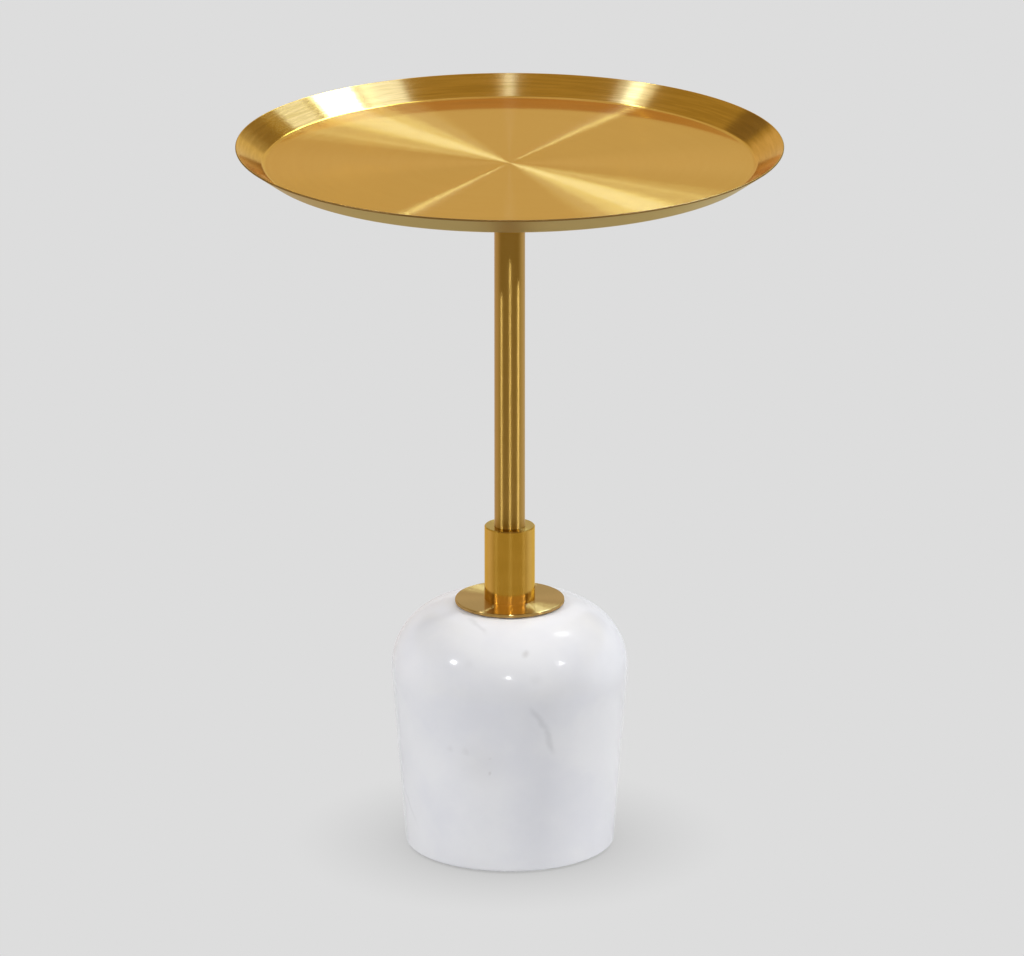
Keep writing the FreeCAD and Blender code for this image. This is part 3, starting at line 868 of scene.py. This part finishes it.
# %% [markdown]
# ## Welds under the tray
#
# Nobody sees these from above, but the boss has to be fixed to its plate, and the plate to the tray. A ring
# of overlapping scales makes the weld round the boss, and a ring of flat buttons the spot welds of the
# plate. Both are one small shape, repeated along a circle, so one tree makes them.

# %% A ring of weld marks
BALL_SEGMENTS = 12
BALL_RINGS = 7

ring_inputs = [
    ("Geometry", "NodeSocketGeometry"),
    ("Marks", "NodeSocketInt"),
    ("Ring radius", "NodeSocketFloat"),
    ("Height", "NodeSocketFloat"),
    ("Mark size", "NodeSocketVector"),
    ("Finish", "NodeSocketMaterial"),
]
weld_tree, mark, weld_ids = new_tree("Ring of weld marks", ring_inputs)
circle = mark["Marks"].node(
    "GeometryNodeCurvePrimitiveCircle", None, {"Resolution": mark["Marks"], "Radius": mark["Ring radius"]}
)
ball_sizes = {"Segments": BALL_SEGMENTS, "Rings": BALL_RINGS, "Radius": 1.0}
ball = shade_smooth(circle.node("GeometryNodeMeshUVSphere", None, ball_sizes))
direction = circle.node("GeometryNodeInputTangent")
heading = direction.node("FunctionNodeAlignRotationToVector", {"axis": "X"}, {"Vector": direction})
marks = circle.node(
    "GeometryNodeInstanceOnPoints",
    None,
    {"Points": circle, "Instance": ball, "Rotation": heading, "Scale": mark["Mark size"]},
)
lift = marks.node("ShaderNodeCombineXYZ", None, {"Z": mark["Height"]})
raised = marks.node(
    "GeometryNodeTranslateInstances", None, {"Instances": marks, "Translation": lift, "Local Space": False}
)
end_tree(raised, mark["Finish"])
print("weld tree:", len(weld_tree.nodes), "nodes")

# %% Put the two rings under the tray
SCALES = 44
SCALE_SIZE = (1.5 * MM, 1.6 * MM, 1.1 * MM)
SCALES_OUT = 0.6 * MM
SCALES_DOWN = 0.5 * MM
SPOTS = 8
SPOT_SIZE = (2.6 * MM, 2.6 * MM, 0.35 * MM)
SPOTS_IN = 12 * MM


def weld_ring(name, amount, ring_radius, up, size):
    """A ring of weld marks that rides with the tray."""
    values = {
        weld_ids["Marks"]: amount,
        weld_ids["Ring radius"]: ring_radius,
        weld_ids["Height"]: up,
        weld_ids["Mark size"]: size,
        weld_ids["Finish"]: gold_under,
    }
    ring = run_tree(name, bpy.data.meshes.new(name + " start"), weld_tree, values)
    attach(ring, "tray_top")


boss_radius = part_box("tray_boss")[1].x
plate_low, plate_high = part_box("tray_backing_plate")
weld_ring("boss_weld", SCALES, boss_radius + SCALES_OUT, plate_low.z - SCALES_DOWN, SCALE_SIZE)
weld_ring("plate_spot_welds", SPOTS, plate_high.x - SPOTS_IN, plate_low.z, SPOT_SIZE)

# %% [markdown]
# ## Finishes on the other pieces
#
# The collar and the hidden hardware already have the right shapes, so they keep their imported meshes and
# only change their materials.

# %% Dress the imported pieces
finish_of = {
    "tray_backing_plate": gold_under,
    "tray_boss": gold_collar,
    "tray_washer": nylon,
    "tray_stud": zinc,
    "pole_top_plug": zinc,
    "pole_foot_plug": zinc,
    "collar": gold_collar,
    "collar_grub_screw": black_steel,
    "flange_gasket": foam,
    "tie_rod": zinc,
    "clamp_plate": zinc,
    "rod_flat_washer": zinc,
    "rod_spring_washer": black_steel,
    "rod_nut": zinc,
    "floor_pad": rubber,
}
for node_name, finish in finish_of.items():
    for material_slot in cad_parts[node_name].material_slots:
        material_slot.material = finish
print("dressed:", len(finish_of))

# %% [markdown]
# ## Floor
#
# The table stands on a pale sweep. A lit floor would be brighter in some places than in others, so what the
# camera and the metal see of it is one even grey, with a painted shadow that darkens it only close round the
# foot. To the other rays, which carry light to the table, it is a plain matt surface.

# %% Floor
WHITE = (1, 1, 1, 1)
PALE = 0.723
SHADE_SHARE = 0.39
SHADED = PALE * (1 - SHADE_SHARE)
PALE_GREY = (PALE, PALE, PALE, 1)
SHADED_GREY = (SHADED, SHADED, SHADED, 1)
SHADE_REACH = 0.1
SHADE_SAMPLES = 16
FLOOR_RADIUS = 0.62
FLOOR_CORNERS = 96


def seen_directly(start):
    """Two wires: rays from the camera, and all rays that show the background, in metal and glass too."""
    eye = start.node("ShaderNodeLightPath", out="Is Camera Ray")
    return eye, strongest([eye, eye.other("Is Glossy Ray"), eye.other("Is Transmission Ray")])


def floor_finish():
    material, start = new_finish("pale sweep")
    material.node_tree.nodes.clear()
    shown = seen_directly(start)[1]
    open_sky = start.node(
        "ShaderNodeAmbientOcclusion", {"samples": SHADE_SAMPLES}, {"Distance": SHADE_REACH}, out="AO"
    )
    # painted shadow: ambient occlusion darkens the shown grey close round the foot
    look = start.node("ShaderNodeEmission", None, {"Color": mix_colours(open_sky, SHADED_GREY, PALE_GREY)})
    matt = start.node("ShaderNodeBsdfDiffuse", None, {"Color": PALE_GREY})
    both = shown.node("ShaderNodeMixShader", None, {0: shown, 1: matt, 2: look})
    both.node("ShaderNodeOutputMaterial", None, {"Surface": both})
    return material


bpy.ops.mesh.primitive_circle_add(vertices=FLOOR_CORNERS, radius=FLOOR_RADIUS, fill_type="NGON")
floor = bpy.context.object
floor.name = "floor"
floor.data.materials.append(floor_finish())
print("floor radius", FLOOR_RADIUS)

# %% [markdown]
# ## Room
#
# Polished gold shows the room more than its own colour. The room is pale behind, and brighter and cooler
# there on the right than on the left. Above, a pale panel hangs over the back. The rest is warm and dark,
# darkest in front, which gives the pole its deep bands. Two small dark flags at the back show in the rim of
# the tray. Only polished faces see this room: to the camera the background is one even grey, and what
# lights the table is an even white.

# %% Room
FILL = 0.3
WARM_DARK = (0.44, 0.375, 0.145, 1)
DEEP_DARK = (0.15, 0.108, 0.035, 1)
CEILING = (0.72, 0.72, 0.72, 1)
BACKDROP_LEFT = (0.735, 0.675, 0.65, 1)
BACKDROP_RIGHT = (0.78, 0.8, 0.82, 1)
# where each part of the room begins or ends: how far right, back or up its direction points
BACKDROP_FROM = (-0.45, 0.35)
BACKDROP_TOP = (0.27, 0.36)
BACKDROP_MIDDLE = (-0.1, 0.1)
CEILING_FROM = (0.2, 0.32)
CEILING_SIDES = (0.24, 0.34)
FRONT_FOOT = (-0.15, 0.1)
FRONT_TOP = (0.7, 0.9)
FRONT_TO = (-0.2, 0.2)
# each flag: its direction, the cosines where its shade starts and is full, and how much it shades
FLAGS = (((0.423, 0.848, 0.32), 0.982, 0.993, 0.5), ((-0.481, 0.759, 0.439), 0.988, 0.995, 0.8))


def flag_shade(outward, direction, edge, full, depth):
    """The shade of one flag."""
    facing = outward.vector("DOT_PRODUCT", outward, direction, out="Value")
    return step_between(facing, edge, full) * depth


def room():
    world = bpy.data.worlds.new("studio")
    scene.world = world
    world.use_nodes = True
    world.node_tree.nodes.clear()
    start = Wire(world.node_tree)
    eye, shown = seen_directly(start)
    outward = start.node("ShaderNodeTexCoord", out="Generated")
    right = outward.node("ShaderNodeSeparateXYZ", None, {0: outward})
    back = right.other("Y")
    up = right.other("Z")
    sideways = right.math("ABSOLUTE", right)
    backdrop = step_between(back, *BACKDROP_FROM) * (1 - step_between(up, *BACKDROP_TOP))
    ceiling = step_between(back, *CEILING_FROM) * (1 - step_between(sideways, *CEILING_SIDES))
    front_height = step_between(up, *FRONT_FOOT) * (1 - step_between(up, *FRONT_TOP))
    front = front_height * (1 - step_between(back, *FRONT_TO))
    flags = sum(flag_shade(outward, *flag) for flag in FLAGS)
    dark = mix_colours(front, WARM_DARK, DEEP_DARK)
    above = mix_colours(ceiling, dark, CEILING)
    behind = mix_colours(step_between(right, *BACKDROP_MIDDLE), BACKDROP_LEFT, BACKDROP_RIGHT)
    bright = mix_colours(backdrop, above, behind)
    metal = mix_colours(flags, bright, DEEP_DARK)
    look = start.node("ShaderNodeBackground", None, {"Color": mix_colours(eye, metal, PALE_GREY)})
    fill = start.node("ShaderNodeBackground", None, {"Color": WHITE, "Strength": FILL})
    both = shown.node("ShaderNodeMixShader", None, {0: shown, 1: fill, 2: look})
    both.node("ShaderNodeOutputWorld", None, {"Surface": both})


room()
print("room fill", FILL)

# %% [markdown]
# ## Lamps
#
# Each bright spoke on the tray, stripe on the pole and spot on the marble is a mirror image of a lamp, so
# the lamps can be worked back from them. A real lamp gives light and shine together. Here they are two
# lamps in one place, because the marble asks for more light than the gold has shine. Every lamp stands a
# little farther off than the one before, so that none hides another.

# %% Helpers for lamps
AIM_AT_TRAY = Vector((0, 0, 0.59))
AIM_AT_POLE = Vector((0, 0, 0.35))
AIM_AT_STONE = Vector((0, 0, 0.18))
NEAREST_LAMP = 5
FAR_LAMP = 30
LAMP_SPACING = 0.1
PLAIN = (1.0, 1.0, 1.0)
COOL = (0.66, 1.0, 1.05)
PALE_GOLD = (0.96, 1.12, 1.3)
COLD = (0.55, 1.0, 2.8)


def toward(around, up):
    """A direction: degrees around to the right from the viewer, and degrees up."""
    around = math.radians(around)
    up = math.radians(up)
    return Vector((math.sin(around) * math.cos(up), -math.cos(around) * math.cos(up), math.sin(up)))


def strip(name, aim, ends, across, light, nearest=NEAREST_LAMP):
    """A lamp between two directions, so many degrees across, that gives this much light where it aims."""
    low, high = ends
    away = (low + high).normalized()
    upward = (high - low).normalized()
    distance = nearest + LAMP_SPACING * len(bpy.data.lights)
    data = bpy.data.lights.new(name, "AREA")
    data.shape = "RECTANGLE"
    data.size = 2 * distance * math.tan(math.radians(across) / 2)
    data.size_y = 2 * distance * math.tan(low.angle(high) / 2)
    data.energy = light * math.pi * distance**2
    box = bpy.data.objects.new(name, data)
    box.location = aim + away * distance
    box.rotation_euler = Matrix((upward.cross(away), upward, away)).transposed().to_euler()
    scene.collection.objects.link(box)
    return box


def group(name, link_state, pieces):
    """A group of pieces, for lamps that light only them, or all but them."""
    holder = bpy.data.collections.new(name)
    for piece in pieces:
        holder.objects.link(piece)
    for member in holder.collection_objects:
        member.light_linking.link_state = link_state
    return holder


def polished_only(box, receivers, tint=PLAIN):
    """Makes a lamp show only as a mirror image, and only in these pieces."""
    box.data.color = tint
    box.visible_diffuse = False
    box.light_linking.receiver_collection = receivers


only_stone = group("stone alone", "INCLUDE", [stone])
all_but_stone = group("all but the stone", "EXCLUDE", [stone])
collar_and_plate = group("collar and plate", "INCLUDE", [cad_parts["collar"], flange])
print("groups for lamps: 3")

# %% [markdown]
# The first lamps light the whole table: three behind and above it, three in front, one high in front and
# one on the right. Those in front also shine, and draw the stripes on the pole.

# %% Lamps for light


def lamp(name, aim, low_end, high_end, across, light, shine):
    """A lamp in two shares: light for matt faces, and shine for polished metal."""
    ends = toward(*low_end), toward(*high_end)
    strip(name + " light", aim, ends, across, light).visible_glossy = False
    if shine:
        polished_only(strip(name + " shine", aim, ends, across, shine), all_but_stone, PALE_GOLD)


# each lamp: its aim, its lower and upper ends, its degrees across, its light and its shine
lamp("back right", AIM_AT_TRAY, (134.5, 48), (130, 55.5), 4, 0.5, 0)
lamp("back left", AIM_AT_TRAY, (-126.8, 61.3), (-126.8, 64.3), 2, 0.1, 0)
lamp("overhead", AIM_AT_TRAY, (180, 75.5), (0, 84.3), 4, 0.03, 0)
lamp("front left", AIM_AT_POLE, (-68, 29.8), (-68, 31.8), 7, 1.27, 0.62)
lamp("front right", AIM_AT_POLE, (71, 27.6), (71, 29.6), 7, 0.7, 0.74)
lamp("front middle", AIM_AT_POLE, (3, 23.4), (3, 25.4), 6, 0.02, 0.55)
lamp("front above", AIM_AT_STONE, (0, 52), (0, 62), 6, 0.49, 0)
lamp("side right", AIM_AT_STONE, (100, 40), (100, 50), 6, 0.84, 0)
print("lamps:", len(bpy.data.lights))

# %% [markdown]
# A spoke or a patch on the tray is placed by the faces that mirror it: a face that leans so far to one side
# sends the camera's sight line to one place in the room, and the lamp goes there. The broad spoke fades at
# its sides, so it is a stack of lamps, weaker outwards. The scratches tint what they spread, and these
# lamps are cooler to make up for it.

# %% Lamps for the tray
SPOKE_TILTS = (23, 30)
SKIRT_TILTS = (22, 28)
RIM_TILTS = (31, 38)


def mirrored(around, tilt):
    """The direction of a lamp that the camera sees in a face which leans so far, towards this side."""
    face = toward(around, 90 - tilt)
    sight = (camera.location - AIM_AT_TRAY).normalized()
    return 2 * face.dot(sight) * face - sight


def gleam(name, around, tilts, across, shine, tint):
    """A lamp that draws a spoke on the tray's floor or a patch on its rim."""
    ends = mirrored(around, tilts[0]), mirrored(around, tilts[1])
    polished_only(strip(name, AIM_AT_TRAY, ends, across, shine, FAR_LAMP), all_but_stone, tint)


# each gleam: the side and the lean of its faces, its degrees across, its shine and its tint
gleam("broad spoke core", 39.8, SPOKE_TILTS, 6, 0.09, COOL)
gleam("broad spoke", 39.8, SPOKE_TILTS, 12.5, 0.6, COOL)
gleam("broad spoke left", 53, SKIRT_TILTS, 9, 0.18, COOL)
gleam("broad spoke far left", 61, SKIRT_TILTS, 6, 0.056, COOL)
gleam("broad spoke right", 26, SKIRT_TILTS, 6, 0.067, COOL)
gleam("narrow spoke", -29.5, SPOKE_TILTS, 0.9, 0.1, COOL)
gleam("rim block", 41, RIM_TILTS, 9.4, 0.32, COLD)
gleam("rim block left", 54.5, RIM_TILTS, 10, 0.036, COLD)
gleam("rim block right", 28.4, RIM_TILTS, 9, 0.066, COLD)
gleam("rim right core", -28, RIM_TILTS, 3, 0.03, COLD)
gleam("rim right", -28, RIM_TILTS, 7.5, 0.022, COLD)
gleam("rim middle", 0, RIM_TILTS, 1.9, 0.0135, COLD)
print("lamps:", len(bpy.data.lights))

# %% [markdown]
# Three wide panels in front brighten the collar and its plate alone. The last lamps show only as spots of
# gloss on the stone.

# %% Lamps for the collar and the stone
PANEL_SIDES = (-50, 0, 50)
PANEL_FOOT = 6
PANEL_TOP = 30
PANEL_ACROSS = 48
PANEL_SHINE = 0.42


def glint(name, low_end, high_end, across, shine):
    """A lamp that only shows as a spot of gloss on the stone."""
    ends = toward(*low_end), toward(*high_end)
    polished_only(strip(name, AIM_AT_STONE, ends, across, shine), only_stone)


for side in PANEL_SIDES:
    panel_ends = toward(side, PANEL_FOOT), toward(side, PANEL_TOP)
    panel = strip("front panel", AIM_AT_STONE, panel_ends, PANEL_ACROSS, PANEL_SHINE, FAR_LAMP)
    polished_only(panel, collar_and_plate)
# each glint: its lower and upper ends, its degrees across and its shine
glint("stone left", (-67, 34), (-67, 36), 2, 0.3)
glint("stone right", (61, 34), (61, 38), 5, 0.09)
glint("stone middle", (-1.5, 24), (-1.5, 26), 2, 0.14)
glint("stone behind", (130, 50.5), (130, 59.5), 10, 0.1)
print("lamps:", len(bpy.data.lights))
